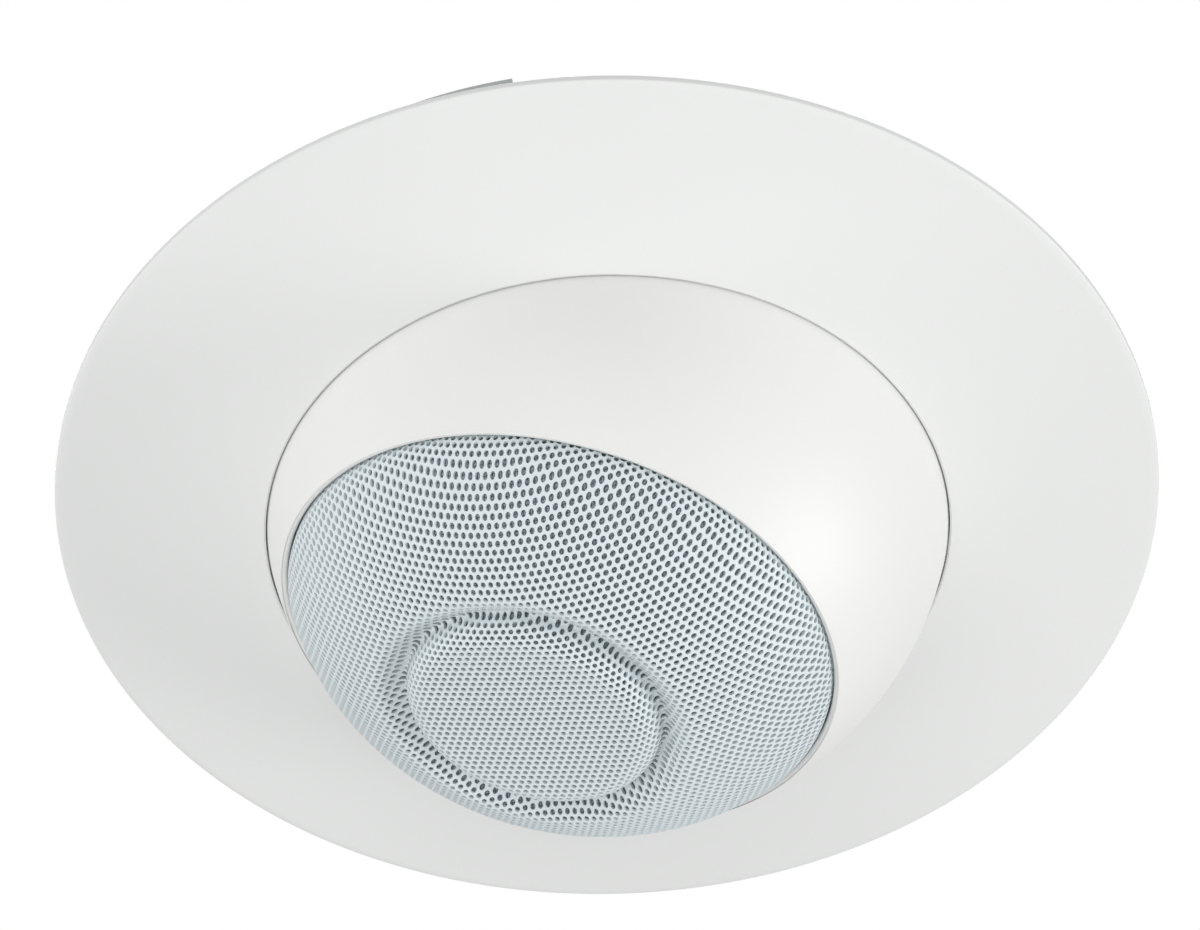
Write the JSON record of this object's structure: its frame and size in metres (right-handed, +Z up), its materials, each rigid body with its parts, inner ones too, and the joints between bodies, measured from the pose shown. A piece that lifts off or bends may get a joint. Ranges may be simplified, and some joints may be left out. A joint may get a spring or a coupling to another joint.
{
  "type": "ceiling speaker",
  "caption": "Recessed ceiling loudspeaker: a painted ball with a domed perforated grille swivels in a wide shallow bezel, held through the ceiling by swing-out clamps.",
  "frame": {"origin": "centre of the ball, on the bezel's axis, in the plane of the ceiling's underside", "axes": "+Z up into the ceiling void along the bezel's axis and the pan axis; the ball tilts about Y and leans towards -X at rest"},
  "size_m": [0.275, 0.275, 0.1576],
  "materials": {
    "trim_paint": "satin white powder coat",
    "shell_paint": "satin white paint",
    "grille_paint": "pale blue-white powder coat on perforated steel",
    "scrim_cloth": "open-weave acoustic cloth",
    "grey_plastic": "fine texture",
    "black_plastic": "fine texture",
    "foam": "closed-cell foam",
    "zinc_steel": "bright zinc plate",
    "brass": "turned",
    "nylon": "natural nylon",
    "cast_aluminium": "as cast",
    "ferrite": "sintered",
    "cone_paper": "pressed pulp",
    "surround_rubber": "matt",
    "copper_wire": "enamelled wire",
    "spider_cloth": "resin-treated weave",
    "silk_dome": "coated silk",
    "circuit_board": "solder mask",
    "ceramic": "cement",
    "wadding": "loose fibre",
    "red_plastic": "moulded"
  },
  "bodies": {
    "frame": {"mounting_frame": "grey_plastic", "frame_gasket": "foam", "retaining_ring": "grey_plastic", "retaining_screw_1": "zinc_steel", "retaining_screw_2": "zinc_steel", "retaining_screw_3": "zinc_steel"},
    "trim": {"trim_ring": "trim_paint"},
    "swivel": {"swivel_ring": "black_plastic", "pivot_bush_left": "nylon", "pivot_bush_right": "nylon"},
    "ball": {"front_shell": "shell_paint", "rear_enclosure": "black_plastic", "pivot_pin_left": "zinc_steel", "pivot_pin_right": "zinc_steel", "driver_screw_1": "zinc_steel", "driver_screw_2": "zinc_steel", "driver_screw_3": "zinc_steel", "driver_screw_4": "zinc_steel", "enclosure_screw_1": "zinc_steel", "enclosure_screw_2": "zinc_steel", "enclosure_screw_3": "zinc_steel", "enclosure_screw_4": "zinc_steel", "woofer_basket": "cast_aluminium", "woofer_top_plate": "zinc_steel", "woofer_magnet": "ferrite", "woofer_back_plate": "zinc_steel", "woofer_surround": "surround_rubber", "woofer_spider": "spider_cloth", "tweeter_post": "cast_aluminium", "tweeter_housing": "black_plastic", "tweeter_magnet": "ferrite", "tweeter_faceplate": "black_plastic", "crossover_board": "circuit_board", "crossover_inductor": "copper_wire", "crossover_capacitor_1": "black_plastic", "crossover_capacitor_2": "black_plastic", "crossover_resistor": "ceramic", "damping_wadding": "wadding", "terminal_cup": "black_plastic"},
    "grille": {"grille": "grille_paint", "grille_scrim": "scrim_cloth"},
    "cone": {"woofer_cone": "cone_paper", "voice_coil": "copper_wire"},
    "tweeter_dome": {"tweeter_dome": "silk_dome"},
    "tab_red": {"terminal_tab_red": "red_plastic"},
    "tab_black": {"terminal_tab_black": "black_plastic"},
    "clamp_screw_1": {"clamp_screw_1": "zinc_steel"},
    "clamp_nut_1": {"clamp_nut_1": "brass"},
    "clamp_dog_1": {"clamp_dog_1": "grey_plastic"},
    "clamp_screw_2": {"clamp_screw_2": "zinc_steel"},
    "clamp_nut_2": {"clamp_nut_2": "brass"},
    "clamp_dog_2": {"clamp_dog_2": "grey_plastic"},
    "clamp_screw_3": {"clamp_screw_3": "zinc_steel"},
    "clamp_nut_3": {"clamp_nut_3": "brass"},
    "clamp_dog_3": {"clamp_dog_3": "grey_plastic"},
    "clamp_screw_4": {"clamp_screw_4": "zinc_steel"},
    "clamp_nut_4": {"clamp_nut_4": "brass"},
    "clamp_dog_4": {"clamp_dog_4": "grey_plastic"}
  },
  "joints": [
    {"name": "trim_pull", "type": "slide", "parent": "frame", "child": "trim", "axis": [0, 0, -1], "range_m": [0, 0.025]},
    {"name": "pan", "type": "hinge", "parent": "frame", "child": "swivel", "pos_m": [0, 0, 0], "axis": [0, 0, 1], "range_deg": [-175, 175]},
    {"name": "tilt", "type": "hinge", "parent": "swivel", "child": "ball", "pos_m": [0, 0, 0], "axis": [0, 1, 0], "range_deg": [-36.3, 3.7]},
    {"name": "grille_pull", "type": "slide", "parent": "ball", "child": "grille", "axis": [-0.2807, 0, -0.9598], "range_m": [0, 0.03]},
    {"name": "cone_excursion", "type": "slide", "parent": "ball", "child": "cone", "axis": [-0.2807, 0, -0.9598], "range_m": [-0.003, 0.003], "stiffness_N_per_m": 1500, "deforming": ["woofer_surround", "woofer_spider"]},
    {"name": "tweeter_excursion", "type": "slide", "parent": "ball", "child": "tweeter_dome", "axis": [-0.2807, 0, -0.9598], "range_m": [-0.0004, 0.0004], "stiffness_N_per_m": 1500},
    {"name": "tab_red_press", "type": "slide", "parent": "ball", "child": "tab_red", "axis": [-0.2807, 0, -0.9598], "range_m": [0, 0.003], "stiffness_N_per_m": 600, "springref_m": -0.001},
    {"name": "tab_black_press", "type": "slide", "parent": "ball", "child": "tab_black", "axis": [-0.2807, 0, -0.9598], "range_m": [0, 0.003], "stiffness_N_per_m": 600, "springref_m": -0.001},
    {"name": "clamp_screw_1_turn", "type": "hinge", "parent": "frame", "child": "clamp_screw_1", "pos_m": [0.1078, 0.01228, 0], "axis": [0, 0, 1], "range_deg": [0, 2701]},
    {"name": "clamp_nut_1_travel", "type": "slide", "parent": "frame", "child": "clamp_nut_1", "axis": [0, 0, -1], "range_m": [0, 0.012]},
    {"name": "clamp_dog_1_swing", "type": "hinge", "parent": "clamp_nut_1", "child": "clamp_dog_1", "pos_m": [0.1078, 0.01228, 0.02], "axis": [0, 0, 1], "range_deg": [0, 90]},
    {"name": "clamp_screw_2_turn", "type": "hinge", "parent": "frame", "child": "clamp_screw_2", "pos_m": [-0.01228, 0.1078, 0], "axis": [0, 0, 1], "range_deg": [0, 2701]},
    {"name": "clamp_nut_2_travel", "type": "slide", "parent": "frame", "child": "clamp_nut_2", "axis": [0, 0, -1], "range_m": [0, 0.012]},
    {"name": "clamp_dog_2_swing", "type": "hinge", "parent": "clamp_nut_2", "child": "clamp_dog_2", "pos_m": [-0.01228, 0.1078, 0.02], "axis": [0, 0, 1], "range_deg": [0, 90]},
    {"name": "clamp_screw_3_turn", "type": "hinge", "parent": "frame", "child": "clamp_screw_3", "pos_m": [-0.1078, -0.01228, 0], "axis": [0, 0, 1], "range_deg": [0, 2701]},
    {"name": "clamp_nut_3_travel", "type": "slide", "parent": "frame", "child": "clamp_nut_3", "axis": [0, 0, -1], "range_m": [0, 0.012]},
    {"name": "clamp_dog_3_swing", "type": "hinge", "parent": "clamp_nut_3", "child": "clamp_dog_3", "pos_m": [-0.1078, -0.01228, 0.02], "axis": [0, 0, 1], "range_deg": [0, 90]},
    {"name": "clamp_screw_4_turn", "type": "hinge", "parent": "frame", "child": "clamp_screw_4", "pos_m": [0.01228, -0.1078, 0], "axis": [0, 0, 1], "range_deg": [0, 2701]},
    {"name": "clamp_nut_4_travel", "type": "slide", "parent": "frame", "child": "clamp_nut_4", "axis": [0, 0, -1], "range_m": [0, 0.012]},
    {"name": "clamp_dog_4_swing", "type": "hinge", "parent": "clamp_nut_4", "child": "clamp_dog_4", "pos_m": [0.01228, -0.1078, 0.02], "axis": [0, 0, 1], "range_deg": [0, 90]}
  ],
  "couplings": [
    {"joint": "clamp_screw_1_turn", "follows": "clamp_nut_1_travel", "rad_per_m": 3927},
    {"joint": "clamp_screw_2_turn", "follows": "clamp_nut_2_travel", "rad_per_m": 3927},
    {"joint": "clamp_screw_3_turn", "follows": "clamp_nut_3_travel", "rad_per_m": 3927},
    {"joint": "clamp_screw_4_turn", "follows": "clamp_nut_4_travel", "rad_per_m": 3927}
  ]
}
